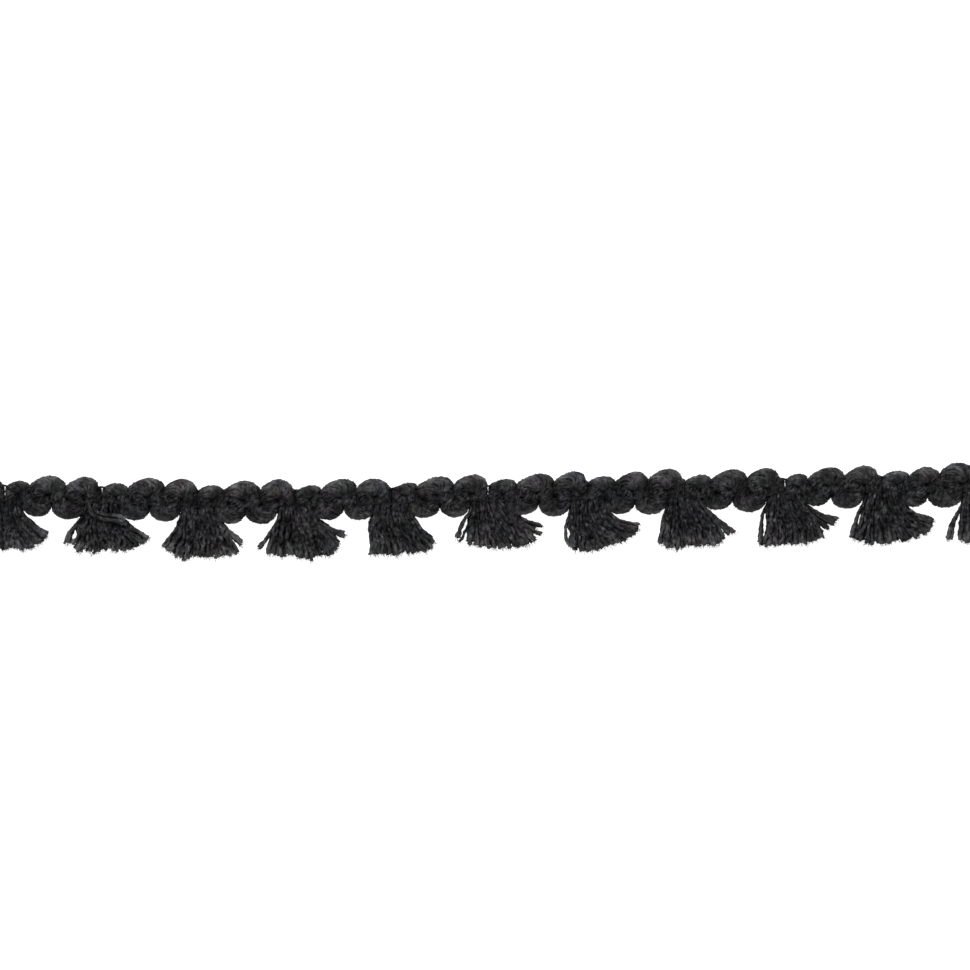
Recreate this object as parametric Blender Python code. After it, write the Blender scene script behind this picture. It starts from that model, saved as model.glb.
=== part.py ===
"""A cut length of narrow tassel trim, laid flat. Metres, +Z up.

The heading is one thick bundle of yarn laid to and fro in a row of loops, bound by two threads that run along it.
Every third lower loop is cut open, and its yarns hang out as a small fan-shaped tassel. The bundle so runs in
lengths, each from one tassel to the next.

X runs along the heading, +Y points from the tassels to the upper loops, and the underside lies at Z = 0. The origin
is under the first leg left of the middle tassel, on the heading's middle line.
"""

import math

import bmesh
import bpy
from mathutils import Vector

MM = 0.001

# The heading
TASSELS = 11
LEGS_PER_REPEAT = 6
REPEAT = 16.25 * MM
LEG_SPACING = REPEAT / LEGS_PER_REPEAT
CLEARANCE = 0.3 * MM
CORD_HEIGHT = 2.2 * MM
CORD_SIDES = 8
TURN_STEPS = 4
TASSEL_EDGE = 2.75 * MM
LEG_FOOT = -1.25 * MM

# Each stretch between two tassels, from the one that ends at the trim's left end, in mm. upper_dips and lower_dip are
# where its loops part, from the middle of the tassel on its left; upper and lower are how far its three upper and two
# lower loops reach from the middle line.
STRETCHES = (
    {"upper_dips": (4.2, 10.1), "upper": (2.6, 3.5, 3.5), "lower_dip": 7.9, "lower": (-3.4, -3.7)},
    {"upper_dips": (4.0, 10.0), "upper": (2.6, 3.5, 3.4), "lower_dip": 7.8, "lower": (-3.4, -3.6)},
    {"upper_dips": (4.3, 10.3), "upper": (2.6, 3.5, 3.5), "lower_dip": 7.9, "lower": (-3.6, -3.7)},
    {"upper_dips": (4.3, 10.2), "upper": (2.7, 3.4, 3.6), "lower_dip": 7.9, "lower": (-3.7, -3.7)},
    {"upper_dips": (4.0, 10.0), "upper": (2.6, 3.4, 3.3), "lower_dip": 8.0, "lower": (-3.3, -3.5)},
    {"upper_dips": (4.0, 10.2), "upper": (2.5, 3.4, 3.5), "lower_dip": 8.0, "lower": (-3.4, -3.5)},
    {"upper_dips": (4.7, 10.8), "upper": (2.7, 3.4, 3.8), "lower_dip": 8.5, "lower": (-3.3, -3.7)},
    {"upper_dips": (4.5, 10.0), "upper": (2.9, 3.5, 3.8), "lower_dip": 7.8, "lower": (-3.5, -3.7)},
    {"upper_dips": (4.3, 10.3), "upper": (2.8, 3.5, 3.6), "lower_dip": 8.1, "lower": (-3.1, -3.6)},
    {"upper_dips": (4.0, 9.8), "upper": (2.5, 3.4, 3.5), "lower_dip": 7.7, "lower": (-3.1, -3.6)},
    {"upper_dips": (4.5, 9.8), "upper": (2.6, 3.2, 3.7), "lower_dip": 7.6, "lower": (-3.5, -3.8)},
    {"upper_dips": (4.2, 10.1), "upper": (2.6, 3.5, 3.6), "lower_dip": 7.9, "lower": (-3.4, -3.7)},
)

# The binding threads press the cord flatter along two lines
UPPER_ROW = 0.75 * MM
LOWER_ROW = -0.9 * MM
PRESSED_BY = 0.6 * MM
PRESSED_REACH = 0.8 * MM
THREAD_WIDTH = 0.45 * MM
THREAD_SIDES = 6
THREAD_DIP = 0.15 * MM
THREAD_CLEARANCE = 0.5 * MM
THREAD_END = 1.2 * MM

# The trim doesn't lie quite straight: rise of its middle line at places along it, in mm.
BEND = (
    {"along": -110.0, "rise": 0.20},
    {"along": -82.0, "rise": 0.10},
    {"along": -58.0, "rise": -0.50},
    {"along": -39.0, "rise": -1.00},
    {"along": -20.0, "rise": -0.55},
    {"along": 0.0, "rise": 0.00},
    {"along": 28.0, "rise": 0.55},
    {"along": 45.0, "rise": 0.90},
    {"along": 62.0, "rise": 1.50},
    {"along": 80.0, "rise": 1.70},
    {"along": 110.0, "rise": 1.75},
)

# A tassel's neck, and the thickness of its fan
NECK_HALF = 2.45 * MM
NECK_TOP = LEG_FOOT - CLEARANCE
NECK_THICK = 2.1 * MM
HEM_THICK = 1.3 * MM
EDGE_THIN = 0.45
FAN_COLUMNS = 7
FAN_ROWS = 5

# Each fan in mm, from its neck's middle and the heading's middle line: how far the tassel stands off its even place,
# where its left side turns and ends, where its right side turns and ends, and how low the middle of its hem hangs.
FANS = (
    {"off": 0.75, "turn_l": -4.4, "left": (-4.9, -8.4), "turn_r": -5.0, "right": (6.9, -6.4), "hem": -9.0},
    {"off": 0.67, "turn_l": -4.3, "left": (-6.0, -7.5), "turn_r": -4.9, "right": (7.7, -6.4), "hem": -8.9},
    {"off": 0.42, "turn_l": -4.1, "left": (-5.6, -8.1), "turn_r": -4.6, "right": (7.1, -7.2), "hem": -9.4},
    {"off": 0.50, "turn_l": -4.2, "left": (-5.2, -8.3), "turn_r": -4.6, "right": (8.1, -5.9), "hem": -9.6},
    {"off": 0.25, "turn_l": -4.6, "left": (-3.8, -9.1), "turn_r": -4.6, "right": (7.2, -7.5), "hem": -9.5},
    {"off": 0.00, "turn_l": -4.4, "left": (-4.6, -7.6), "turn_r": -4.4, "right": (8.9, -5.6), "hem": -9.0},
    {"off": 0.42, "turn_l": -4.7, "left": (-3.7, -8.6), "turn_r": -5.0, "right": (8.6, -5.6), "hem": -9.5},
    {"off": 0.33, "turn_l": -4.1, "left": (-4.2, -8.9), "turn_r": -4.6, "right": (8.0, -6.6), "hem": -9.3},
    {"off": 0.75, "turn_l": -4.1, "left": (-4.4, -8.9), "turn_r": -4.2, "right": (8.6, -5.6), "hem": -9.2},
    {"off": 0.67, "turn_l": -4.7, "left": (-4.9, -8.5), "turn_r": -4.8, "right": (8.4, -6.2), "hem": -9.5},
    {"off": 0.75, "turn_l": -4.2, "left": (-4.9, -8.7), "turn_r": -4.7, "right": (8.1, -6.4), "hem": -9.3},
)

CHARCOAL = (0.022, 0.022, 0.023, 1.0)
THREAD_BLACK = (0.017, 0.017, 0.018, 1.0)
MATERIALS = {
    "heading_yarn": {"colour": CHARCOAL, "roughness": 0.88},
    "binding_thread": {"colour": THREAD_BLACK, "roughness": 0.80},
    "tassel_yarn": {"colour": CHARCOAL, "roughness": 0.92},
}


def clear_scene():
    for old in list(bpy.data.objects):
        bpy.data.objects.remove(old, do_unlink=True)


def make_material(name):
    made = bpy.data.materials.new(name)
    made.use_nodes = True
    shader = made.node_tree.nodes["Principled BSDF"]
    shader.inputs["Base Color"].default_value = MATERIALS[name]["colour"]
    shader.inputs["Roughness"].default_value = MATERIALS[name]["roughness"]
    shader.inputs["Metallic"].default_value = 0.0
    return made


def add_object(name, bm, material):
    bmesh.ops.recalc_face_normals(bm, faces=bm.faces)
    mesh = bpy.data.meshes.new(name)
    bm.to_mesh(mesh)
    bm.free()
    mesh.materials.append(material)
    mesh.shade_smooth()
    mesh.set_sharp_from_angle(angle=math.radians(50))
    made = bpy.data.objects.new(name, mesh)
    bpy.context.scene.collection.objects.link(made)
    return made


def rise_at(x):
    """How far the heading's middle line lies above its place at the origin: a Catmull-Rom curve through BEND."""
    steps = range(1, len(BEND) - 2)
    i = next((k for k in steps if x < BEND[k + 1]["along"] * MM), steps[-1])
    before, start, end, after = (BEND[k] for k in range(i - 1, i + 3))
    span = end["along"] - start["along"]
    t = (x / MM - start["along"]) / span
    start_slope = (end["rise"] - before["rise"]) / (end["along"] - before["along"]) * span
    end_slope = (after["rise"] - start["rise"]) / (after["along"] - start["along"]) * span
    rise = (
        (2 * t**3 - 3 * t**2 + 1) * start["rise"]
        + (t**3 - 2 * t**2 + t) * start_slope
        + (3 * t**2 - 2 * t**3) * end["rise"]
        + (t**3 - t**2) * end_slope
    )
    return rise * MM


def placed(x, across, z):
    """A point at x along the heading and so far across it, with the bend added."""
    return Vector((x, across + rise_at(x), z))


def tassel_place(number):
    """X of tassel number's middle. Numbers run from 0, and one on either side of the trim bounds its end cords."""
    middle = TASSELS // 2
    row = FANS[min(max(number, 0), TASSELS - 1)]
    return (number - middle) * REPEAT + (row["off"] - FANS[middle]["off"]) * MM + TASSEL_EDGE / 2


def cord_height(across):
    """The cord's thickness, less where a binding thread presses on it."""
    pressed = sum(math.exp(-(((across - row) / PRESSED_REACH) ** 2)) for row in (UPPER_ROW, LOWER_ROW))
    return CORD_HEIGHT - PRESSED_BY * min(pressed, 1.0)


def leg_edges(repeat):
    """X of the seven lines that part a stretch's six legs, at the legs' heads and at their feet."""
    row = STRETCHES[repeat + 1]
    left, right = tassel_place(repeat), tassel_place(repeat + 1)
    upper = [left, *(left + dip * MM for dip in row["upper_dips"]), right]
    lower = [left + TASSEL_EDGE, left + row["lower_dip"] * MM, right - TASSEL_EDGE]
    heads, feet = [upper[0]], [left, lower[0]]
    for near, far in zip(upper[:-1], upper[1:], strict=True):
        heads += [(near + far) / 2, far]
    for near, far in zip(lower[:-1], lower[1:], strict=True):
        feet += [(near + far) / 2, far]
    return heads, [*feet, right]


def cord_route(repeat, first_leg, last_leg):
    """Points (x, across, heading angle, width) along the cord's middle, over the legs given."""
    heads, feet = leg_edges(repeat)
    row = STRETCHES[repeat + 1]
    route = []
    for leg in range(first_leg, last_leg + 1):
        going_up = leg % 2 == 0
        angle = math.pi / 2 if going_up else -math.pi / 2
        wide_up, wide_low = heads[leg + 1] - heads[leg], feet[leg + 1] - feet[leg]
        upper = row["upper"][leg // 2] * MM - wide_up + CLEARANCE / 2
        head = ((heads[leg] + heads[leg + 1]) / 2, upper, wide_up)
        feeds_tassel = leg in (0, LEGS_PER_REPEAT - 1)
        lower = LEG_FOOT if feeds_tassel else row["lower"][(leg - 1) // 2] * MM + wide_low - CLEARANCE / 2
        foot = ((feet[leg] + feet[leg + 1]) / 2, lower, wide_low)
        points = [tuple((low + high) / 2 for low, high in zip(foot, head, strict=True))]
        if feeds_tassel or leg in (first_leg, last_leg):
            points = [foot, *points]
        route += [(x, y, angle, wide - CLEARANCE) for x, y, wide in (points if going_up else reversed(points))]
        if leg == last_leg:
            break
        start, side = (head, 1) if going_up else (foot, -1)
        radius = start[2] / 2
        for step in range(TURN_STEPS + 1):
            turn = math.pi * step / TURN_STEPS
            route.append(
                (
                    start[0] + radius * (1 - math.cos(turn)),
                    start[1] + side * radius * math.sin(turn),
                    side * (math.pi / 2 - turn),
                    start[2] - CLEARANCE,
                )
            )
    return route


def cord_ring(x, across, angle, width):
    """The cord's section, round on top and flat underneath, square to the way it runs."""
    height = cord_height(across)
    corner = math.cos(math.pi / CORD_SIDES)
    ring = []
    for side in range(CORD_SIDES):
        turn = 2 * math.pi * (side + 0.5) / CORD_SIDES
        out = width / 2 * math.cos(turn) / corner
        z = height / 2 * (1 + math.sin(turn) / corner)
        ring.append(placed(x - out * math.sin(angle), across + out * math.cos(angle), z))
    return ring


def tube(rings):
    """A closed tube through the rings, capped at both ends."""
    bm = bmesh.new()
    loops = [[bm.verts.new(point) for point in ring] for ring in rings]
    for near, far in zip(loops[:-1], loops[1:], strict=True):
        for side, corner in enumerate(near):
            following = (side + 1) % len(near)
            bm.faces.new((corner, near[following], far[following], far[side]))
    bm.faces.new(loops[0])
    bm.faces.new(loops[-1])
    return bm


def add_heading_cord(repeat, material):
    """One length of the heading's cord: whole between two tassels, and cut after four legs at the trim's ends."""
    first = 2 if repeat < 0 else 0
    last = 3 if repeat == TASSELS - 1 else LEGS_PER_REPEAT - 1
    rings = [cord_ring(*point) for point in cord_route(repeat, first, last)]
    add_object(f"heading_cord_{repeat + 1:02d}", tube(rings), material)


def add_binding_thread(name, row, material):
    """A thread along the heading, laid in the hollows that it presses, and dipping between the legs."""
    rest = cord_height(row) + THREAD_CLEARANCE + THREAD_WIDTH / 2
    start = leg_edges(-1)[0][2] - THREAD_END
    end = leg_edges(TASSELS - 1)[0][4] + THREAD_END
    steps = round((end - start) / LEG_SPACING)
    rings = []
    for step in range(steps + 1):
        x = start + (end - start) * step / steps
        z = rest if step % 2 else rest + THREAD_DIP
        turns = [2 * math.pi * side / THREAD_SIDES for side in range(THREAD_SIDES)]
        radius = THREAD_WIDTH / 2
        rings.append([placed(x, row + radius * math.cos(turn), z + radius * math.sin(turn)) for turn in turns])
    add_object(name, tube(rings), material)


def curve_point(start, turn, end, t):
    """A point on the curve that leaves start towards turn and arrives at end from it."""
    return start * (1 - t) ** 2 + turn * 2 * t * (1 - t) + end * t**2


def fan_point(fan, s, t):
    """A point of the fan, s of the way down from its neck and t of the way across, in mm: its four edges blended."""
    half, top = NECK_HALF / MM, NECK_TOP / MM
    corners = [Vector((-half, top)), Vector((half, top)), Vector(fan["left"]), Vector(fan["right"])]
    neck_l, neck_r, hem_l, hem_r = corners
    left_turn = Vector((fan["turn_l"], (top + hem_l.y) / 2))
    right_turn = Vector((half, fan["turn_r"]))
    hem_turn = Vector(((hem_l.x + hem_r.x) / 2, 2 * fan["hem"] - (hem_l.y + hem_r.y) / 2))
    left = curve_point(neck_l, left_turn, hem_l, s)
    right = curve_point(neck_r, right_turn, hem_r, s)
    neck = neck_l.lerp(neck_r, t)
    hem = curve_point(hem_l, hem_turn, hem_r, t)
    flat = (neck_l * (1 - t) + neck_r * t) * (1 - s) + (hem_l * (1 - t) + hem_r * t) * s
    return left.lerp(right, t) + neck.lerp(hem, s) - flat


def add_tassel(number, material):
    """A tassel pressed flat by its own weight: thick at the neck, thin along its hem and its two sides."""
    fan = FANS[number]
    middle = tassel_place(number)
    bm = bmesh.new()
    upper, lower = [], []
    for row in range(FAN_ROWS + 1):
        s = row / FAN_ROWS
        upper.append([])
        lower.append([])
        for column in range(FAN_COLUMNS + 1):
            t = column / FAN_COLUMNS
            thick = (NECK_THICK * (1 - s) + HEM_THICK * s) * (1 - EDGE_THIN * (2 * t - 1) ** 4)
            point = fan_point(fan, s, t) * MM
            foot = placed(middle + point.x, point.y, 0.0)
            lower[-1].append(bm.verts.new(foot))
            upper[-1].append(bm.verts.new(foot + Vector((0, 0, thick))))
    for row in range(FAN_ROWS):
        for column in range(FAN_COLUMNS):
            for sheet in (upper, lower):
                bm.faces.new(
                    (
                        sheet[row][column],
                        sheet[row][column + 1],
                        sheet[row + 1][column + 1],
                        sheet[row + 1][column],
                    )
                )
    rim = [(0, column) for column in range(FAN_COLUMNS)]
    rim += [(row, FAN_COLUMNS) for row in range(FAN_ROWS)]
    rim += [(FAN_ROWS, column) for column in range(FAN_COLUMNS, 0, -1)]
    rim += [(row, 0) for row in range(FAN_ROWS, 0, -1)]
    for here, there in zip(rim, rim[1:] + rim[:1], strict=True):
        corners = [lower[here[0]][here[1]], lower[there[0]][there[1]]]
        corners += [upper[there[0]][there[1]], upper[here[0]][here[1]]]
        bm.faces.new(corners)
    add_object(f"tassel_{number + 1:02d}", bm, material)


def main():
    clear_scene()
    heading_yarn = make_material("heading_yarn")
    binding_thread = make_material("binding_thread")
    tassel_yarn = make_material("tassel_yarn")
    for repeat in range(-1, TASSELS):
        add_heading_cord(repeat, heading_yarn)
    add_binding_thread("binding_thread_upper", UPPER_ROW, binding_thread)
    add_binding_thread("binding_thread_lower", LOWER_ROW, binding_thread)
    for number in range(TASSELS):
        add_tassel(number, tassel_yarn)


main()
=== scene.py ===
"""Looks of the tassel trim: every yarn of its heading, tassels and binding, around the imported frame.

Sizes are in millimetres up to the mesh builder, which writes metres. In the trim's own terms, x runs along
the heading, v is the height above its middle line, and z is the height above the surface that it lies on.
"""

import math

import bpy
import numpy as np
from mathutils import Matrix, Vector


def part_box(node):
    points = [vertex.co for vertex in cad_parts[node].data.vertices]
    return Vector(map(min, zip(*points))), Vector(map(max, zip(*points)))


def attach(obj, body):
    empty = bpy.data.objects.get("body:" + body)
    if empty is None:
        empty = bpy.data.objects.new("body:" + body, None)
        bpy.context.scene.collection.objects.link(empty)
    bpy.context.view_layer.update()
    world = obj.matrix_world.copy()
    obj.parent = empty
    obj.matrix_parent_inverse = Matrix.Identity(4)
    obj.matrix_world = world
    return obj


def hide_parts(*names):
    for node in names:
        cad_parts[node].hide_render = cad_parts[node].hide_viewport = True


MM = 0.001
TURN = 2 * math.pi
CORD_SEED = 20259
TASSEL_SEED = 20359

# How finely curves are worked out, and what counts as no length, as nearly upright and as the same place
CURVE_STEPS = 16
TINY = 1e-12
NEARLY_UPRIGHT = 0.1
STATION_SLACK = 0.02
NECK_SLACK = 0.05

# The heading's plan, as in the solids: its legs from tassel to tassel, those at which it is cut at its two
# ends, the binding's rows and the necks' tops
TASSELS = 11
LEGS = 6
FIRST_CUT_LEG = 2
LAST_CUT_LEG = 3
UPPER_ROW = 0.75
LOWER_ROW = -0.9
NECK_TOP = -1.55

# The yarn: the section of its two plies turns once in each lay
YARN_RADIUS = 0.285
YARN_LAY = 2.3
PLY_SECTION = (1.0, 0.84, 0.74, 1.0, 0.84, 0.74)
ROUND_SECTION = (1.0,) * 6
TWIST_STARTS = (0, 6)

# The heading's bundle: yarns around it, a few that cross over them, and a core that fills it. The inner
# yarns are made in the tassels only, where the bundle is cut open.
CORD_YARNS = 17
CORD_YARN_RADIUS = 0.33
CORD_YARN_SIZES = (0.9, 1.1)
OVER_YARNS = 4
OVER_TURNS = 1.5
OVER_INSET = 1.12
WIDEST_INSET = 1.03
INNER_YARNS = 9
INNER_FIRST = 0.2
INNER_INSET = 0.55
CORES = ((-0.62, 0.3), (-0.2, 0.45), (0.2, 0.45), (0.62, 0.3), (0.0, -0.3))
CORE_RADIUS = 0.50
CORE_EVERY = 2
BUNDLE_LAY = 9.5
SIDE_OVERLAP = 0.14
SQUARENESS = 0.75
HALF_HEIGHT = 0.80
LEG_STATIONS = 9
TURN_STATIONS = 16

# The loops: how far short of their tops they start to turn, and from where at the earliest, what the yarn's
# thickness takes off their height, how pointed they are, the pits they turn around and how full they are
UPPER_RISES = (1.25, 2.0, 2.0)
LOWER_RISE = 2.0
UPPER_START = 0.8
LOWER_START = -1.0
UPPER_TRIM = 0.16
LOWER_TRIM = 0.05
UPPER_POWERS = (1.3, 1.0)
LOWER_POWERS = (1.0, 1.0)
UPPER_PIT = 0.4
LOWER_PIT = -0.8
UPPER_FULLER = 0.22
LOWER_FULLER = 0.05

# How the binding presses the bundle flatter and lifts it, how the creases between legs and the loops' pits
# sink it, and how far each of them reaches
PRESSED_BY = 0.07
PRESSED_REACH = 0.5
PRESSED_LIFT = 0.10
SUNK_BY = 0.40
CREASE_REACH = 0.42
CREASE_FADE = 0.9
NECK_CREASE = 0.4
UPPER_CREASE = 0.4
LOWER_CREASE = -0.5
PIT_REACH = 0.46

# The tassels: s runs from 0 at the neck to 1 at the hem, and t from 0 at the left side to 1 at the right
NECK_HALF = 2.45
TASSEL_EDGE = 2.75
FAN_TOP = -1.5
FAN_LENGTH = 9
FAN_STATIONS = 28
TASSEL_YARN_SIZES = (0.95, 1.1)
END_FULLER = 0.22
END_FULLER_FROM = 0.5
ENDS_MIXED = 0.2
NECK_FADE = 0.3
DOWN_BY = 0.75
HEM_LAYER = 0.45
LAYER_UNEVEN = 0.10
HEM_LIFT = 0.07
DRIFT = 0.12
DRIFT_RATES = {"s": 1.7, "t": 2.2}

# One yarn in so many lies over a tassel's others, and is freer than they are
OVER_EVERY = 5
OVER_LAYER = 2
OVER_UNEVEN = 0.03
UNDER_UNEVEN = 0.003
OVER_FREE = 0.25
UNDER_FREE = 0.06
FREE_BY = 0.35

# The tassels' yarns gather into clumps, which rise, bend and end unevenly
CLUMPS = (8, 11)
CLUMPING = 0.5
CLUMP_FROM = 0.1
CLUMP_OVER = 0.5
CLUMP_RISE = 0.22
CLUMP_BEND = 0.25
BEND_RATES = {"s": 1.3, "t": 1.7}
CLUMP_LENGTHS = {"uneven": 0.018, "range": (-1.8, 1.3)}
YARN_LENGTHS = {"uneven": 0.02, "range": (-2, 1.6)}

# The strands that lie apart from a tassel
STRAY_START = 0.9
STRAY_LENGTHS = (0.96, 1.03)
STRAY_OPENING = 1.5

# The lowest yarns of a tassel, which show only between the others
FILL_YARNS = 22
FILL_STATIONS = 12
FILL_REACH = 0.975
FILL_LENGTHS = (0.94, 1.0)
FILL_FULLER = 0.25

# The binding: chain stitches, each from one gap between legs to the next, and a straight run behind them. Its
# rows wave a little, and the upper one lifts over the tassels.
THREAD_RADIUS = 0.12
PAST_ENDS = 1.5
STITCH_HALF = 0.11
STITCH_OVERLAP = 0.25
STITCH_STATIONS = 9
STITCH_SUNK = 0.16
STITCH_DIVE = 0.45
SIDE_POWER = 0.7
DIVE_POWER = 0.6
BACK_STATIONS = 5
BACK_RISE = 0.5
NECK_BRIDGE = 0.85
NECK_BRIDGE_REACH = 0.9
ROW_WAVES = (
    {"height": 0.10, "rate": 1.13, "by_row": 5, "start": 0},
    {"height": 0.08, "rate": 0.61, "by_row": 0, "start": 2},
)

# Loose fibres: on the cords, on the tassels and at the cut ends
FIBRE_RADIUS = 0.02
FIBRE_SECTION = (1.0,) * 3
FIBRE_STATIONS = 3
FIBRE_ROOT = 1.1
FIBRE_TAPER = 0.5
CORD_FIBRES = {"count": 560, "length": 0.9}
TASSEL_FIBRES = {"count": 300, "length": 0.8}
FIBRE_LENGTHS = (0.4, 1.0)
FIBRE_DEPTH = 0.95
FIBRE_OUT = 0.3
FIBRE_BEND = (0.7, 0.7, 0.21)
END_FIBRES = 7
END_RADIUS = 0.032
END_LENGTHS = (0.12, 0.38)
END_SPREAD = (0.12, 0.12, 0.084)
END_SPLAY = 0.45
END_BEND = 0.35

# How things wander along a yarn: by how much, and over about what length
WANDERS = {
    "bundle_turn": {"by": 0.5, "over": 9.0},
    "cord_turn": {"by": 0.15, "over": 4.0},
    "cord_inset": {"by": 0.09, "over": 2.5},
    "over_turn": {"by": 0.8, "over": 5.0},
    "over_inset": {"by": 0.08, "over": 2.5},
    "cord_size": {"by": 0.14, "over": 1.3},
    "worn": {"by": 1.0, "over": 1.6},
    "free": {"by": 1.0, "over": 3.2},
    "stray_x": {"by": 0.12, "over": 4.0},
    "stray_v": {"by": 0.10, "over": 4.0},
    "fill_x": {"by": 0.04, "over": 4.0},
    "hem_lift": {"by": 1.0, "over": 4.0},
}
WANDER_PARTS = (1.0, 1.9)
WANDER_RATES = (0.8, 1.25)

# How pale the yarns are: a painted highlight on the loops' outer parts, towards the tassels' hems where they
# fray, paler towards the tassels' sides, and in worn spots
LOOP_PAINTED_HIGHLIGHT = 0.42
LOOP_HIGHLIGHT_RANGE = (0.5, 1.0)
LOOP_MIDDLE = -0.6
LOOP_HIGHLIGHT_FROM = 0.6
LOOP_HIGHLIGHT_OVER = 2.4
HEM_FRAY = 0.58
HEM_FRAY_FROM = 0.64
SIDE_PALER = 0.37
SIDE_PALER_FROM = 0.25
SIDE_PALER_OVER = 0.5
SIDE_PALER_POWER = 3
TASSEL_FRAY_RANGE = (0.4, 1.0)
WORN_FROM = 0.55
CORD_SPOTS = 1.7
TASSEL_SPOTS = 3.2

# The yarns' look: their dark and light colours, the binding's darker ones a painted shade, what fraying and
# the painted highlight on the loops add, and their surface, its bumps in metres
YARN_COLOURS = {
    "heading_yarn": {"dark": (0.005, 0.005, 0.007), "light": (0.195, 0.192, 0.205)},
    "tassel_yarn": {"dark": (0.005, 0.005, 0.008), "light": (0.220, 0.215, 0.238)},
    # The binding's light colour is darker than the yarns': a painted shade along the binding rows.
    "binding_thread": {"dark": (0.005, 0.005, 0.007), "light": (0.130, 0.128, 0.138)},
}
FRAY_AND_HIGHLIGHT_COLOUR = (0.27, 0.264, 0.260)
DARK_TO = 0.43
LIGHT_FROM = 0.59
ROUGHNESS = 0.8
SPECULAR = 0.18
SHEEN = 0.03
SHEEN_ROUGHNESS = 0.5
BUMP = 0.6
BUMP_DEPTH = 0.00006

# Its noises, the first one along the yarn and the others to a metre, and how they change the colour
NOISES = {
    "fibres": {"Scale": 3.0, "Detail": 4.0},
    "flecks": {"Scale": 1500.0, "Detail": 3.0},
    "shade": {"Scale": 450.0, "Detail": 1.0},
    "dye": {"Scale": 280.0, "Detail": 1.0},
}
FIBRE_STRETCH = (3.0, 9.0, 1.0)
SHADE_RANGE = (0.35, 0.65)
SHADE_LOW = 0.36
DYE_MIX = 0.25

# The stage and the lights, in metres and watts
WHITE = (1, 1, 1, 1)
FLOOR_SIZE = 6.0
FLOOR_COLOUR = (0.9, 0.9, 0.9, 1)
FLOOR_ROUGHNESS = 0.9
FLOOR_GLOW = 1.05
SKY_LIGHT = 0.1
LIGHTS = (
    {"name": "key", "place": (-0.25, 0.6, 0.55), "size": 0.4, "power": 3.2},
    {"name": "front", "place": (0.3, -0.75, 0.22), "size": 0.4, "power": 1.5},
)

# The camera looks straight down. The view's centre, its width and the level of that width are in mm.
VIEW_CENTRE = (0.875, 1.70)
VIEW_WIDTH = 161.7
VIEW_LEVEL = 1
LENS = 100.0
SENSOR = 36.0
CLIP = (0.01, 20.0)

# The upper loops of each stretch, from one tassel's place to the next, in mm. The first and last stretch each
# have one place without a tassel. notches are the dips between the three loops, from the place on their left.
# tops is how high each loop reaches, and lean how far its top leans to the right. shelf is how far short of
# the place on its right the third loop starts to turn.
UPPER_LOOPS = (
    {"notches": (4.2, 10.1), "tops": (2.6, 3.5, 3.5), "lean": (0.3, 0.4, 0.4), "shelf": 0.5},
    {"notches": (4.0, 10.0), "tops": (2.5, 3.5, 3.5), "lean": (0.3, 0.45, 0.7), "shelf": 0.7},
    {"notches": (4.3, 10.3), "tops": (2.6, 3.6, 3.6), "lean": (0.1, 0.6, 0.2), "shelf": 0.3},
    {"notches": (4.3, 10.3), "tops": (2.7, 3.5, 3.7), "lean": (0.1, 0.35, 0.3), "shelf": 0.6},
    {"notches": (4.0, 10.0), "tops": (2.6, 3.5, 3.4), "lean": (0.5, 0.6, -0.1), "shelf": 0.35},
    {"notches": (4.0, 10.2), "tops": (2.5, 3.4, 3.6), "lean": (0.8, 0.6, 0.4), "shelf": 0.15},
    {"notches": (4.7, 10.9), "tops": (2.7, 3.5, 3.8), "lean": (0.4, 0.7, 0.9), "shelf": 0.65},
    {"notches": (4.5, 10.0), "tops": (2.9, 3.55, 3.9), "lean": (0.3, 0.5, 0.4), "shelf": 0.55},
    {"notches": (4.3, 10.3), "tops": (2.8, 3.6, 3.7), "lean": (0.4, 0.4, 0.4), "shelf": 1.0},
    {"notches": (3.8, 9.8), "tops": (2.5, 3.4, 3.5), "lean": (0.1, 0.45, 0.55), "shelf": 0.85},
    {"notches": (4.5, 9.8), "tops": (2.6, 3.2, 3.8), "lean": (0.3, 0.0, -0.4), "shelf": 0.5},
    {"notches": (4.2, 10.1), "tops": (2.6, 3.5, 3.6), "lean": (0.3, 0.4, 0.4), "shelf": 0.5},
)

# The same stretches' lower loops, in mm. notch is the dip between the two loops, depths is how low each one
# reaches, slit is how far the cords stand apart over the tassel on the stretch's left, and gap how far the
# second loop stays from the tassel on its right.
LOWER_LOOPS = (
    {"notch": 7.9, "depths": (-3.4, -3.7), "slit": 0.0, "gap": 0.25},
    {"notch": 7.8, "depths": (-3.5, -3.8), "slit": 0.28, "gap": 0.15},
    {"notch": 7.9, "depths": (-3.7, -3.7), "slit": 0.24, "gap": 0.25},
    {"notch": 7.9, "depths": (-3.8, -3.8), "slit": 0.0, "gap": 0.5},
    {"notch": 8.0, "depths": (-3.4, -3.6), "slit": 0.0, "gap": 0.2},
    {"notch": 8.0, "depths": (-3.5, -3.6), "slit": 0.0, "gap": 0.3},
    {"notch": 8.5, "depths": (-3.4, -3.8), "slit": 0.26, "gap": 0.3},
    {"notch": 7.8, "depths": (-3.6, -3.8), "slit": 0.0, "gap": 0.35},
    {"notch": 8.0, "depths": (-3.2, -3.75), "slit": 0.0, "gap": 0.5},
    {"notch": 7.7, "depths": (-3.1, -3.7), "slit": 0.26, "gap": 0.4},
    {"notch": 7.6, "depths": (-3.6, -3.8), "slit": 0.0, "gap": 0.15},
    {"notch": 7.9, "depths": (-3.4, -3.7), "slit": 0.0, "gap": 0.25},
)

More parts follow.
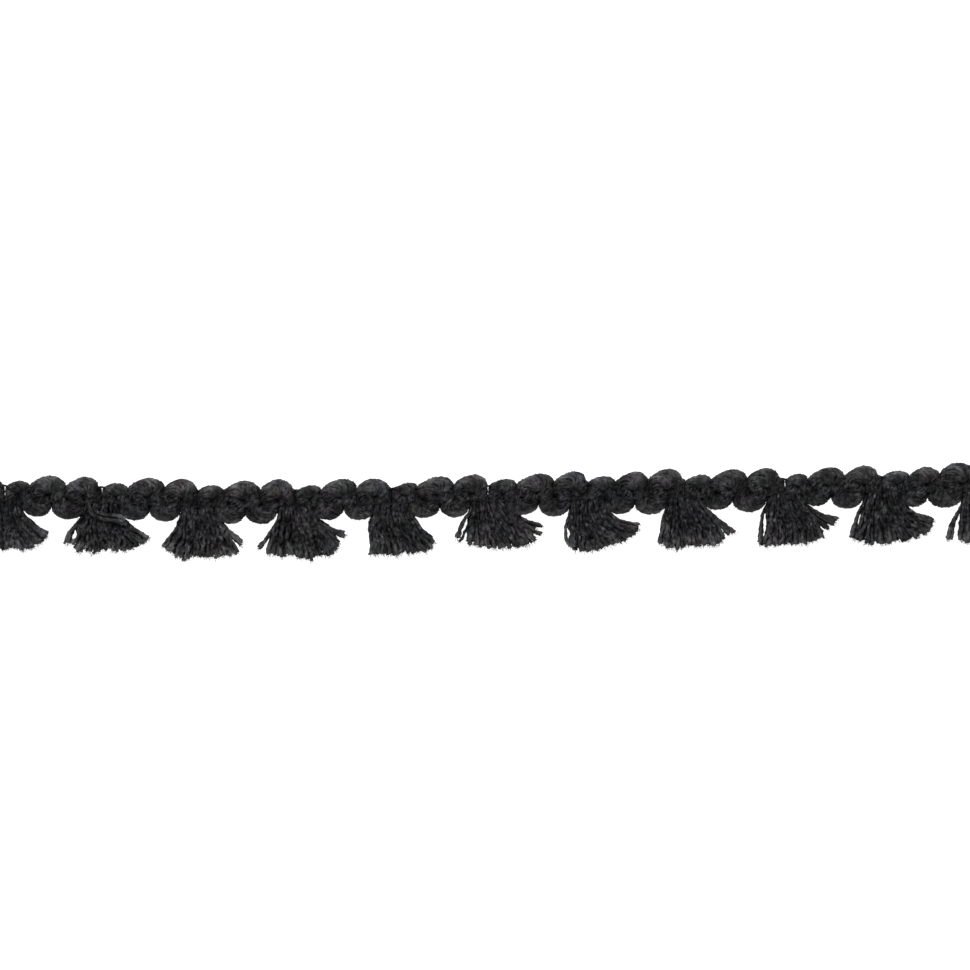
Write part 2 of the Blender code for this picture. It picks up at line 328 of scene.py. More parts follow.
# Each tassel, in mm from the middle of its neck: points down its left side, along its hem and down its right
# side. tangle is how much its yarns stray from even. strays are the strands that lie apart from it: how many
# yarns each has, how far they spread at their ends, and their way. A strand that lies on top also has a lift,
# the number of layers that it lies above the others.
FANS = (
    {
        "left": ((-2.7, -2.5), (-3.4, -4.5), (-4.2, -6.5), (-4.9, -8.2)),
        "hem": ((-2.5, -8.9), (0.0, -8.8), (2.1, -8.8), (4.1, -8.7), (5.7, -8.0), (6.6, -7.2)),
        "right": ((2.6, -2.4), (3.6, -3.75), (5.1, -4.9), (6.9, -5.95)),
        "tangle": 1.2,
        "strays": (),
    },
    {
        "left": ((-2.9, -2.3), (-3.9, -4.0), (-4.2, -5.3), (-4.3, -6.5), (-5.4, -7.8)),
        "hem": ((-4.3, -8.8), (-2.0, -9.2), (0.4, -8.5), (3.0, -8.9), (5.4, -8.3), (7.4, -7.0)),
        "right": ((2.8, -2.4), (4.0, -4.0), (5.3, -5.0), (6.9, -5.8)),
        "tangle": 1.6,
        "strays": (
            {"yarns": 5, "spread": 0.5, "way": ((-2.7, -2.4), (-4.1, -4.4), (-5.25, -5.9), (-6.0, -7.8))},
            {"yarns": 2, "spread": 0.2, "way": ((2.6, -2.4), (4.4, -4.3), (6.1, -5.7), (7.8, -6.6))},
            {
                "yarns": 3,
                "spread": 0.4,
                "lift": 3,
                "way": ((-1.3, -2.3), (0.4, -2.8), (2.2, -3.0), (3.9, -3.3)),
            },
            {
                "yarns": 3,
                "spread": 0.4,
                "lift": 3,
                "way": ((-1.6, -2.9), (0.2, -3.5), (2.0, -3.7), (3.8, -3.9)),
            },
        ),
    },
    {
        "left": ((-2.7, -2.6), (-3.5, -4.1), (-4.9, -6.4), (-6.2, -8.0)),
        "hem": ((-4.3, -8.9), (-2.2, -9.9), (-1.2, -9.6), (0.2, -9.3), (2.0, -9.4), (5.4, -8.9)),
        "right": ((2.7, -2.4), (4.0, -3.8), (5.2, -5.4), (5.9, -6.9), (6.9, -8.2)),
        "tangle": 1.6,
        "strays": (
            {"yarns": 4, "spread": 0.5, "way": ((2.5, -2.2), (4.1, -3.9), (5.4, -5.4), (7.2, -6.95))},
        ),
    },
    {
        "left": ((-2.7, -2.2), (-3.5, -3.8), (-4.4, -5.8), (-5.0, -8.2)),
        "hem": ((-3.0, -9.0), (0.8, -9.4), (2.7, -9.5), (4.8, -9.1), (6.7, -8.5)),
        "right": ((2.9, -2.5), (4.2, -3.9), (5.9, -5.4), (7.5, -7.2)),
        "tangle": 1.2,
        "strays": (
            {"yarns": 2, "spread": 0.35, "way": ((-2.5, -2.2), (-3.8, -4.5), (-4.8, -6.0), (-6.2, -7.9))},
            {"yarns": 5, "spread": 0.5, "way": ((2.6, -2.4), (4.4, -3.9), (6.1, -5.2), (8.0, -6.0))},
        ),
    },
    {
        "left": ((-3.1, -2.2), (-3.7, -3.6), (-3.9, -5.2), (-3.6, -7.0), (-3.8, -9.0)),
        "hem": ((-2.2, -9.3), (-0.7, -9.4), (2.0, -9.2), (4.3, -9.2), (6.1, -8.7)),
        "right": ((2.7, -2.3), (3.9, -3.6), (5.15, -5.4), (7.1, -7.5)),
        "tangle": 1.0,
        "strays": (),
    },
    {
        "left": ((-2.7, -2.2), (-3.3, -3.4), (-3.3, -5.0), (-3.45, -6.4), (-3.8, -7.5)),
        "hem": ((-2.3, -8.3), (0.0, -8.8), (2.6, -8.8), (5.0, -8.8), (7.0, -8.4), (7.7, -7.1)),
        "right": ((3.3, -2.2), (4.9, -3.5), (6.3, -4.6), (7.8, -5.6)),
        "tangle": 1.2,
        "strays": (
            {"yarns": 4, "spread": 0.3, "way": ((-2.6, -2.2), (-3.85, -3.9), (-4.65, -5.5), (-5.1, -7.1))},
            {"yarns": 1, "spread": 0.0, "way": ((-2.2, -2.4), (-3.1, -4.4), (-3.9, -6.2), (-4.7, -7.6))},
            {"yarns": 2, "spread": 0.3, "way": ((2.8, -2.1), (5.0, -3.5), (6.9, -4.7), (9.0, -5.35))},
            {"yarns": 2, "spread": 0.3, "way": ((2.6, -2.3), (5.0, -4.2), (6.9, -5.8), (8.9, -6.8))},
            {"yarns": 2, "spread": 0.3, "way": ((2.5, -2.4), (4.6, -4.4), (6.4, -6.3), (8.0, -7.85))},
        ),
    },
    {
        "left": ((-2.7, -2.2), (-3.2, -3.8), (-3.4, -5.4), (-2.7, -6.5), (-3.1, -7.6), (-3.1, -8.7)),
        "hem": ((-2.3, -9.3), (-0.5, -9.5), (2.2, -9.2), (4.0, -8.6), (6.0, -8.0), (7.8, -7.0)),
        "right": ((2.9, -2.4), (4.0, -3.6), (5.5, -4.6), (7.0, -5.1), (8.6, -5.3)),
        "tangle": 1.0,
        "strays": (
            {
                "yarns": 2,
                "spread": 0.12,
                "way": ((-2.7, -2.2), (-3.4, -4.4), (-3.7, -5.8), (-3.7, -7.2), (-3.1, -8.7)),
            },
        ),
    },
    {
        "left": ((-2.85, -2.3), (-3.65, -4.0), (-4.05, -6.0), (-4.35, -8.6)),
        "hem": ((-1.8, -9.4), (1.0, -9.1), (3.6, -9.1), (5.2, -8.9), (6.4, -8.2)),
        "right": ((2.8, -2.3), (4.1, -3.8), (5.3, -5.3), (6.5, -7.4)),
        "tangle": 1.2,
        "strays": (
            {"yarns": 6, "spread": 0.62, "way": ((2.6, -2.2), (4.3, -3.8), (6.0, -5.5), (7.9, -7.15))},
        ),
    },
    {
        "left": ((-2.7, -2.2), (-3.1, -4.0), (-3.0, -5.9), (-3.25, -7.5), (-4.0, -9.1)),
        "hem": ((-1.8, -9.3), (-0.5, -9.4), (2.0, -9.2), (4.6, -8.9), (6.1, -8.4)),
        "right": ((2.9, -2.4), (4.1, -3.9), (5.2, -5.5), (6.1, -7.4)),
        "tangle": 1.4,
        "strays": (
            {"yarns": 3, "spread": 0.4, "way": ((-2.6, -2.3), (-3.65, -4.0), (-3.9, -6.4), (-4.15, -9.1))},
            {"yarns": 6, "spread": 0.75, "way": ((2.8, -2.2), (4.7, -3.9), (6.4, -5.0), (8.6, -5.85))},
            {"yarns": 3, "spread": 0.4, "way": ((2.6, -2.3), (4.4, -4.4), (5.7, -5.7), (7.2, -6.9))},
        ),
    },
    {
        "left": ((-2.6, -2.3), (-3.3, -4.3), (-3.7, -6.1), (-4.7, -8.5)),
        "hem": ((-4.0, -9.0), (-2.5, -9.4), (-0.7, -9.6), (1.3, -9.4), (4.0, -9.0), (6.2, -8.3), (8.2, -7.4)),
        "right": ((2.8, -2.3), (4.2, -3.6), (5.6, -4.6), (7.0, -5.1), (8.4, -5.5)),
        "tangle": 1.2,
        "strays": (
            {"yarns": 3, "spread": 0.4, "way": ((-2.7, -2.3), (-3.75, -4.3), (-4.35, -6.1), (-4.95, -8.5))},
        ),
    },
    {
        "left": ((-2.6, -2.3), (-3.1, -3.6), (-3.2, -6.0), (-3.8, -9.0)),
        "hem": ((-2.0, -9.4), (1.0, -9.3), (3.6, -9.2), (5.2, -8.9), (6.4, -7.8)),
        "right": ((2.7, -2.4), (4.0, -3.6), (5.6, -5.0), (7.8, -6.5)),
        "tangle": 1.2,
        "strays": (
            {"yarns": 4, "spread": 0.5, "way": ((-2.5, -2.4), (-3.6, -4.6), (-4.4, -6.3), (-5.1, -8.9))},
        ),
    },
)


# -------- places read from the frame


def node_points(name):
    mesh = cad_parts[name].data
    points = np.empty(len(mesh.vertices) * 3, np.float32)
    mesh.vertices.foreach_get("co", points)
    return points.reshape(-1, 3).astype(float) / MM


def middle_line():
    """(x, y) of the heading's middle line, from the solids' two binding threads."""
    rows = []
    for name in ("binding_thread_lower", "binding_thread_upper"):
        points = node_points(name)
        stations = np.unique(np.round(points[:, 0], 2))
        rings = [points[np.abs(points[:, 0] - x) < STATION_SLACK, 1] for x in stations]
        rows.append([(ring.min() + ring.max()) / 2 for ring in rings])
    return stations, np.mean(rows, axis=0) - (UPPER_ROW + LOWER_ROW) / 2


def tassel_places():
    """X of each tassel's middle, from its solid's top edge, with one more even step past each end."""
    found = []
    for number in range(1, TASSELS + 1):
        points = node_points(f"tassel_{number:02d}")
        above = points[:, 1] - np.interp(points[:, 0], *MIDDLE)
        top = points[above > NECK_TOP - NECK_SLACK, 0]
        found.append((top.min() + top.max()) / 2)
    step = (found[-1] - found[0]) / (TASSELS - 1)
    return [found[0] - step, *found, found[-1] + step]


def placed(x, v, z):
    """Points of the part in mm."""
    return np.stack([x, v + np.interp(x, *MIDDLE), z], axis=-1)


# -------- small tools


def ease(t):
    t = np.clip(t, 0, 1)
    return t * t * (3 - 2 * t)


def wander(rng, rows, along, what):
    """A smooth random value for each row, which changes along it as far and as fast as the table says."""
    total = 0
    for part in WANDER_PARTS:
        phase = rng.uniform(0, TURN, (rows, 1))
        rate = TURN * part / (WANDERS[what]["over"] * rng.uniform(*WANDER_RATES, (rows, 1)))
        total = total + np.sin(rate * along + phase) / (1 + part)
    return WANDERS[what]["by"] * total


def worn_spots(rng, rows, along, strength):
    """How frayed the yarns are besides, in spots along them."""
    return strength * np.clip(wander(rng, rows, along, "worn") - WORN_FROM, 0, 1)


def unit(vectors):
    return vectors / (np.linalg.norm(vectors, axis=-1, keepdims=True) + TINY)


def smooth_curve(points, t):
    """Points at t, 0 to 1 of its length, on a smooth curve through those given, and straight on past 1."""
    points = np.asarray(points, float)
    padded = np.concatenate([[2 * points[0] - points[1]], points, [2 * points[-1] - points[-2]]])
    u = np.linspace(0, 1, CURVE_STEPS + 1)[:, None]
    fine = []
    for k in range(len(points) - 1):
        p0, p1, p2, p3 = padded[k : k + 4]
        bend = (2 * p0 - 5 * p1 + 4 * p2 - p3) * u**2 + (3 * p1 - p0 - 3 * p2 + p3) * u**3
        fine.append(0.5 * (2 * p1 + (p2 - p0) * u + bend)[:-1])
    fine = np.concatenate([*fine, points[-1:]])
    length = np.concatenate([[0], np.cumsum(np.linalg.norm(np.diff(fine, axis=0), axis=1))])
    length /= length[-1]
    ahead = (fine[-1] - fine[-2]) / (length[-1] - length[-2])
    at = np.stack([np.interp(t, length, fine[:, k]) for k in range(2)], axis=-1)
    return at + np.clip(t - 1, 0, None)[..., None] * ahead


class Bundle:
    """Gathers tubes, and makes one mesh of them."""

    def __init__(self):
        self.points, self.quads, self.caps, self.uvs, self.cap_uvs, self.fray_and_highlight_values = [], [], [], [], [], []
        self.count = 0

    def add(self, paths, radii, section, lay=math.inf, phase=0.0, fray_and_painted_highlight=0.0):
        """Tubes along paths (tubes, stations, 3), with radii (tubes, stations) times the section's own. The
        section turns once in each lay of length. fray (tubes, stations) is how pale they are: from fraying
        and wear, and on the heading's loops a painted highlight."""
        tubes, stations, _ = paths.shape
        sides = len(section)
        tangent = unit(np.gradient(paths, axis=1))
        across = np.cross(tangent[:, 0], (0.0, 0.0, 1.0))
        upright = np.linalg.norm(across, axis=1, keepdims=True) < NEARLY_UPRIGHT
        across += np.where(upright, (1.0, 0.0, 0.0), 0.0)
        normals = np.empty_like(paths)
        for k in range(stations):
            across = unit(across - (across * tangent[:, k]).sum(1, keepdims=True) * tangent[:, k])
            normals[:, k] = across
        other = np.cross(tangent, normals)
        steps = np.linalg.norm(np.diff(paths, axis=1), axis=2)
        length = np.concatenate([np.zeros((tubes, 1)), np.cumsum(steps, axis=1)], axis=1)
        turned = length * (TURN / lay) + np.reshape(phase, (-1, 1))
        turn = turned[:, :, None] + TURN * np.arange(sides) / sides
        reach = radii[:, :, None] * np.asarray(section)
        ring = paths[:, :, None] + reach[..., None] * (
            np.cos(turn)[..., None] * normals[:, :, None] + np.sin(turn)[..., None] * other[:, :, None]
        )
        start = self.count + np.arange(tubes)[:, None, None] * stations * sides
        row = start + np.arange(stations - 1)[None, :, None] * sides
        here = row + np.arange(sides)
        beside = row + (np.arange(sides) + 1) % sides
        quads = np.stack([here, beside, beside + sides, here + sides], axis=-1).reshape(-1, 4)
        near = (start[:, :, 0] + np.arange(sides)[::-1]).reshape(-1, sides)
        far = (start[:, :, 0] + (stations - 1) * sides + np.arange(sides)).reshape(-1, sides)
        size = (tubes, stations - 1, sides)
        u0 = np.broadcast_to(length[:, :-1, None], size)
        u1 = np.broadcast_to(length[:, 1:, None], size)
        v0 = np.broadcast_to(np.arange(sides) / sides, size)
        v1 = v0 + 1 / sides
        self.points.append(ring.reshape(-1, 3))
        self.fray_and_highlight_values.append(np.repeat(np.broadcast_to(fray_and_painted_highlight, (tubes, stations)).ravel(), sides))
        self.quads.append(quads)
        self.uvs.append(np.stack([u0, v0, u0, v1, u1, v1, u1, v0], axis=-1).reshape(-1, 2))
        for cap in (near, far):
            self.caps.append(cap)
            self.cap_uvs.append(np.zeros((cap.size, 2)))
        self.count += tubes * stations * sides

    def add_hairs(self, root, way, bend, reach, radius, fray_and_painted_highlight=0.0):
        """Fine fibres from their roots, each with its way, its bend and its reach."""
        t = np.linspace(0, 1, FIBRE_STATIONS)[None, :, None]
        hairs = root[:, None] + way[:, None] * reach[:, None] * t + bend[:, None] * reach[:, None] * t**2
        hairs[..., 2] = np.maximum(hairs[..., 2], FIBRE_RADIUS)
        radii = np.full(hairs.shape[:2], radius) * (FIBRE_ROOT - FIBRE_TAPER * t[..., 0])
        self.add(hairs, radii, FIBRE_SECTION, fray_and_painted_highlight=fray_and_painted_highlight)

    def add_fibres(self, rng, paths, radii, count, length):
        """Fine fibres that lie over the tubes given, at random places on their upper sides and edges."""
        tubes, stations, _ = paths.shape
        tube = rng.integers(0, tubes, count)
        station = rng.integers(1, stations - 1, count)
        root = paths[tube, station]
        along = unit(paths[tube, station + 1] - root)
        out = rng.standard_normal((count, 3))
        out[:, 2] = np.abs(out[:, 2])
        out = unit(out - (out * along).sum(1, keepdims=True) * along)
        beside = np.cross(along, out)
        way = FIBRE_OUT * out + along * rng.uniform(-1, 1, (count, 1))
        way = way + beside * rng.uniform(-1, 1, (count, 1))
        bend = rng.standard_normal((count, 3)) * FIBRE_BEND
        reach = length * rng.uniform(*FIBRE_LENGTHS, (count, 1))
        root = root + out * radii[tube, station][:, None] * FIBRE_DEPTH
        self.add_hairs(root, way, bend, reach, FIBRE_RADIUS)

    def add_end_fibres(self, rng, paths):
        """Short fibres that splay from each cut end."""
        tips = np.repeat(paths[:, -1], END_FIBRES, axis=0)
        ahead = unit(np.repeat(paths[:, -1] - paths[:, -3], END_FIBRES, axis=0))
        spread = rng.standard_normal(tips.shape)
        reach = rng.uniform(*END_LENGTHS, (len(tips), 1))
        bend = END_BEND * rng.standard_normal(tips.shape)
        self.add_hairs(tips + spread * END_SPREAD, ahead + END_SPLAY * spread, bend, reach, END_RADIUS, 1.0)

    def build(self, name, material):
        """The object, in metres."""
        faces = [*self.quads, *self.caps]
        points = np.concatenate(self.points) * MM
        corners = np.concatenate([f.reshape(-1) for f in faces])
        sizes = np.concatenate([np.full(len(f), f.shape[1]) for f in faces])
        starts = np.concatenate([[0], np.cumsum(sizes)[:-1]])
        mesh = bpy.data.meshes.new(name)
        mesh.vertices.add(len(points))
        mesh.vertices.foreach_set("co", points.astype(np.float32).ravel())
        mesh.loops.add(len(corners))
        mesh.loops.foreach_set("vertex_index", corners.astype(np.int32))
        mesh.polygons.add(len(sizes))
        mesh.polygons.foreach_set("loop_start", starts.astype(np.int32))
        mesh.polygons.foreach_set("loop_total", sizes.astype(np.int32))
        mesh.polygons.foreach_set("use_smooth", np.ones(len(sizes), bool))
        layer = mesh.uv_layers.new(name="along_yarn")
        uv = np.concatenate([*self.uvs, *self.cap_uvs])
        layer.data.foreach_set("uv", uv.astype(np.float32).ravel())
        fray_and_highlight_layer = mesh.attributes.new("fray_and_painted_highlight", "FLOAT", "POINT")
        fray_and_highlight_layer.data.foreach_set("value", np.concatenate(self.fray_and_highlight_values).astype(np.float32))
        mesh.update()
        mesh.validate()
        mesh.materials.append(material)
        made = bpy.data.objects.new(name, mesh)
        bpy.context.scene.collection.objects.link(made)
        return made


def settle(piece, node):
    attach(piece, "root")
    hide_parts(node)


# -------- the heading's cords


def with_middles(edges):
    """The edges, with the middle between each two of them."""
    return np.interp(np.arange(2 * len(edges) - 1) / 2, np.arange(len(edges)), edges)


class Stretch:
    """The heading between two places: the seven lines that part its six legs, and its loops' shapes."""

    def __init__(self, number):
        upper, lower = UPPER_LOOPS[number], LOWER_LOOPS[number]
        following = LOWER_LOOPS[min(number + 1, TASSELS)]
        start, end = PLACES[number], PLACES[number + 1]
        heads = [start + lower["slit"] / 2, *(start + notch for notch in upper["notches"])]
        heads.append(end - following["slit"] / 2)
        feet = [start + TASSEL_EDGE, start + lower["notch"], end - TASSEL_EDGE]
        self.heads = with_middles(heads)
        self.feet = np.array([start, *with_middles(feet), end])
        self.upper, self.lower = upper, lower

    def edge(self, number, v):
        """X of the line left of that leg, at that height."""
        t = ease((v - LOWER_START) / (UPPER_START - LOWER_START))
        return self.feet[number] * (1 - t) + self.heads[number] * t

    def upper_loop(self, loop):
        """Its left and right, the height where it starts to turn, its rise from there and its lean."""
        top = self.upper["tops"][loop]
        start = max(top - UPPER_RISES[loop], UPPER_START)
        right = self.heads[2 * loop + 2] - (self.upper["shelf"] if loop == 2 else 0)
        return self.heads[2 * loop], right, start, top - start - UPPER_TRIM, self.upper["lean"][loop]

    def lower_loop(self, loop):
        """The same for a lower loop."""
        depth = self.lower["depths"][loop]
        start = min(depth + LOWER_RISE, LOWER_START)
        right = self.feet[2 * loop + 3] - (self.lower["gap"] if loop == 1 else 0)
        return self.feet[2 * loop + 1], right, start, depth - start + LOWER_TRIM, 0.0

    def sunk(self, x, v):
        """How far the surface dips at a place, 0 to 1: along the creases between loops and at their pits."""
        total = 0
        for number in range(LEGS + 1):
            upper = number % 2 == 0
            past = v - UPPER_CREASE if upper else LOWER_CREASE - v
            fade = ease(past / CREASE_FADE) * (NECK_CREASE if number in (0, LEGS) else 1)
            total = total + fade * np.exp(-(((x - self.edge(number, v)) / CREASE_REACH) ** 2))
            if 0 < number < LEGS:
                pit = LOWER_PIT if upper else UPPER_PIT
                apart = (x - self.edge(number, pit)) ** 2 + (v - pit) ** 2
                total = total + np.exp(-apart / PIT_REACH**2)
        return np.minimum(total, 1.0)


def row_line(x, row):
    """The height of a binding row. The upper one lifts over each tassel, where it bridges two loops."""
    height = row
    for wave in ROW_WAVES:
        height = height + wave["height"] * np.sin(wave["rate"] * x + wave["by_row"] * row + wave["start"])
    if row > 0:
        bridges = [np.exp(-(((x - place) / NECK_BRIDGE_REACH) ** 2)) for place in PLACES]
        height = height + NECK_BRIDGE * sum(bridges)
    return height


def pressed(x, v):
    """How hard the binding presses at a place, 0 to 1."""
    rows = [np.exp(-(((v - row_line(x, row)) / PRESSED_REACH) ** 2)) for row in (UPPER_ROW, LOWER_ROW)]
    return np.minimum(sum(rows), 1.0)


class CordWay:
    """Stations along a cord. At each one a yarn's place follows from its side, -1 to 1 across the bundle to
    the left of the way, and from its up, -1 to 1 in height."""

    def __init__(self, stretch, first, last):
        self.stretch = stretch
        lefts, rights, turns, outsides = [], [], [], []
        for leg in range(first, last + 1):
            rising = leg % 2 == 0
            cut = leg in (first, last, 0, LEGS - 1)
            outer_head = stretch.upper_loop(leg // 2)[2]
            heads = (outer_head, UPPER_PIT) if rising else (UPPER_PIT, outer_head)
            outer_foot = LOWER_ROW if cut else stretch.lower_loop((leg - 1) // 2)[2]
            inner_foot = LOWER_ROW if cut else LOWER_PIT
            feet = (inner_foot, outer_foot) if rising else (outer_foot, inner_foot)
            t = np.linspace(0, 1, LEG_STATIONS + 1)
            t = t if rising else t[::-1]
            t = t if leg == last else t[:-1]
            edges = []
            for k in range(2):
                v = feet[k] * (1 - t) + heads[k] * t
                edges.append(np.stack([stretch.edge(leg + k, v), v], axis=-1))
            lefts.append(edges[0] if rising else edges[1])
            rights.append(edges[1] if rising else edges[0])
            turns.append(0 * t)
            outsides.append(0 * t)
            if leg == last:
                break
            loop = stretch.upper_loop(leg // 2) if rising else stretch.lower_loop((leg - 1) // 2)
            pit = UPPER_PIT if rising else LOWER_PIT
            outer, out = turning(*loop, UPPER_POWERS if rising else LOWER_POWERS)
            fuller = out * (UPPER_FULLER if rising else LOWER_FULLER)
            inner = np.array([stretch.edge(leg + 1, pit), pit]) + 0 * outer
            lefts.append(outer if rising else inner)
            rights.append(inner if rising else outer)
            turns.append(fuller)
            outsides.append(fuller if rising else -fuller)
        left, right = np.concatenate(lefts), np.concatenate(rights)
        self.middle, self.across = (left + right) / 2, (left - right) / 2
        self.turn, self.outside = np.concatenate(turns), np.concatenate(outsides)
        steps = np.linalg.norm(np.diff(self.middle, axis=0), axis=1)
        self.along = np.concatenate([[0], np.cumsum(steps)])[None]
        self.narrower = 1 - (CORD_YARN_RADIUS - SIDE_OVERLAP) / np.linalg.norm(self.across, axis=1)

    def paths(self, side, up):
        x = self.middle[:, 0] + self.across[:, 0] * side * self.narrower
        v = self.middle[:, 1] + self.across[:, 1] * side * self.narrower
        press = pressed(x, v)
        height = HALF_HEIGHT + self.turn - side * self.outside - PRESSED_BY * press
        height = height - SUNK_BY * self.stretch.sunk(x, v)
        z = YARN_RADIUS + PRESSED_LIFT * press + height * (1 + up)
        return placed(x, v, z)


def turning(left, right, start, rise, lean, powers):
    """Points around a loop's outside, and how far round each one is, 0 to 1 at the top."""
    angle = math.pi * np.arange(TURN_STATIONS) / TURN_STATIONS
    power = np.where(np.cos(angle) > 0, powers[0], powers[1])
    out = np.sin(angle) ** power
    along = np.sign(np.cos(angle)) * np.abs(np.cos(angle)) ** power
    x = (left + right) / 2 - (right - left) / 2 * along + lean * out
    return np.stack([x, start + rise * out], axis=-1), out


def squarish(turn):
    """Places around the bundle, -1 to 1 across it and in height. Its corners are fuller than a circle's."""
    across, up = np.cos(turn), np.sin(turn)
    return np.sign(across) * np.abs(across) ** SQUARENESS, np.sign(up) * np.abs(up) ** SQUARENESS


def cord_piece(number, material):
    """The cord's yarns. It returns where each of them ends over the place on its left and on its right."""
    rng = np.random.default_rng(CORD_SEED + number)
    first = FIRST_CUT_LEG if number == 0 else 0
    last = LAST_CUT_LEG if number == TASSELS else LEGS - 1
    way = CordWay(STRETCHES[number], first, last)
    common = TURN * way.along / BUNDLE_LAY + wander(rng, 1, way.along, "bundle_turn")
    turn = TURN * (np.arange(CORD_YARNS)[:, None] + 0.5) / CORD_YARNS + common
    turn = turn + wander(rng, CORD_YARNS, way.along, "cord_turn")
    inset = 1 + wander(rng, CORD_YARNS, way.along, "cord_inset")
    over_turn = rng.uniform(0, TURN, (OVER_YARNS, 1)) + OVER_TURNS * common
    over_turn = over_turn + wander(rng, OVER_YARNS, way.along, "over_turn")
    over_inset = OVER_INSET + wander(rng, OVER_YARNS, way.along, "over_inset")
    turn = np.concatenate([turn, over_turn])
    inset = np.concatenate([inset, over_inset])
    side, up = squarish(turn)
    paths = way.paths(side * np.minimum(inset, WIDEST_INSET), up * inset)
    paths[..., 2] = np.maximum(paths[..., 2], YARN_RADIUS)
    yarns = len(paths)
    radii = CORD_YARN_RADIUS * rng.uniform(*CORD_YARN_SIZES, (yarns, 1))
    radii = radii * (1 + wander(rng, yarns, way.along, "cord_size"))
    height = paths[..., 1] - np.interp(paths[..., 0], *MIDDLE)
    # A painted highlight: the loops' yarns are paler the farther they lie from the heading's middle line,
    # standing in for the light their outer parts catch. Worn spots are added to it.
    fray_and_painted_highlight = LOOP_PAINTED_HIGHLIGHT * ease((np.abs(height - LOOP_MIDDLE) - LOOP_HIGHLIGHT_FROM) / LOOP_HIGHLIGHT_OVER)
    fray_and_painted_highlight = fray_and_painted_highlight * rng.uniform(*LOOP_HIGHLIGHT_RANGE, (yarns, 1)) + worn_spots(rng, yarns, way.along, CORD_SPOTS)
    bundle = Bundle()
    bundle.add(paths, radii, PLY_SECTION, YARN_LAY, rng.uniform(*TWIST_STARTS, yarns), fray_and_painted_highlight)
    cores = np.array(CORES)[:, :, None] + 0 * way.along
    core = way.paths(cores[:, 0], cores[:, 1])[:, ::CORE_EVERY]
    bundle.add(core, np.full(core.shape[:2], CORE_RADIUS), ROUND_SECTION)
    bundle.add_fibres(rng, paths, radii, **CORD_FIBRES)
    settle(bundle.build(f"yarn_cord_{number:02d}", material), f"heading_cord_{number:02d}")
    inner = TURN * (np.arange(INNER_YARNS)[:, None] + INNER_FIRST) / INNER_YARNS + 0 * way.along
    inside = way.paths(INNER_INSET * np.cos(inner), INNER_INSET * np.sin(inner))
    both = np.concatenate([paths, inside])
    return both[:, 0], both[:, -1]


# -------- the tassels


def fan_points(fan, s, t):
    """Points of the fan, s of the way down from its neck and t of the way across. Its edges are blended."""
    neck_l, neck_r = np.array([-NECK_HALF, FAN_TOP]), np.array([NECK_HALF, FAN_TOP])
    left_side = (neck_l, *fan["left"])
    right_side = (neck_r, *fan["right"])
    hem_l, hem_r = np.array(left_side[-1]), np.array(right_side[-1])
    left = smooth_curve(left_side, s)
    right = smooth_curve(right_side, s)
    hem = smooth_curve((hem_l, *fan["hem"], hem_r), t)
    s, t = s[..., None], t[..., None]
    neck = neck_l * (1 - t) + neck_r * t
    flat = neck * (1 - s) + (hem_l * (1 - t) + hem_r * t) * s
    return left * (1 - t) + right * t + neck * (1 - s) + hem * s - flat


def tassel_piece(number, ends, material):
    """The tassel's yarns: the fan's own, those of its strays and the lowest ones."""
    rng = np.random.default_rng(TASSEL_SEED + number)
    fan = FANS[number - 1]
    strays = fan["strays"]
    place = PLACES[number]
    ends = np.concatenate(ends)
    ends = ends[np.argsort(ends[:, 0] + ENDS_MIXED * rng.standard_normal(len(ends)))]
    taken = nearest_ends(ends, place, strays)
    main, t = fan_paths(rng, fan, np.delete(ends, taken, axis=0), place)
    # The fan's yarns are paler towards its sides, lower down, and the strays' yarns are paler all along.
    groups = [(main, SIDE_PALER * np.abs(2 * t - 1)[:, None] ** SIDE_PALER_POWER)]
    if strays:
        groups.append((stray_paths(rng, strays, ends[taken], place), SIDE_PALER))
    bundle = Bundle()
    s = np.linspace(0, 1, FAN_STATIONS)[None]
    for paths, side_paler in groups:
        yarns = len(paths)
        radii = yarn_radii(rng, yarns)
        fray_and_painted_highlight = HEM_FRAY * ease((s - HEM_FRAY_FROM) / (1 - HEM_FRAY_FROM))
        fray_and_painted_highlight = fray_and_painted_highlight + side_paler * ease((s - SIDE_PALER_FROM) / SIDE_PALER_OVER)
        fray_and_painted_highlight = fray_and_painted_highlight * rng.uniform(*TASSEL_FRAY_RANGE, (yarns, 1))
        fray_and_painted_highlight = fray_and_painted_highlight + worn_spots(rng, yarns, s * FAN_LENGTH, TASSEL_SPOTS)
        bundle.add(paths, radii, PLY_SECTION, YARN_LAY, rng.uniform(*TWIST_STARTS, yarns), fray_and_painted_highlight)
        bundle.add_end_fibres(rng, paths)
    bundle.add_fibres(rng, main, yarn_radii(rng, len(main)), **TASSEL_FIBRES)
    add_fill(bundle, rng, fan, place)
    settle(bundle.build(f"tassel_yarns_{number:02d}", material), f"tassel_{number:02d}")


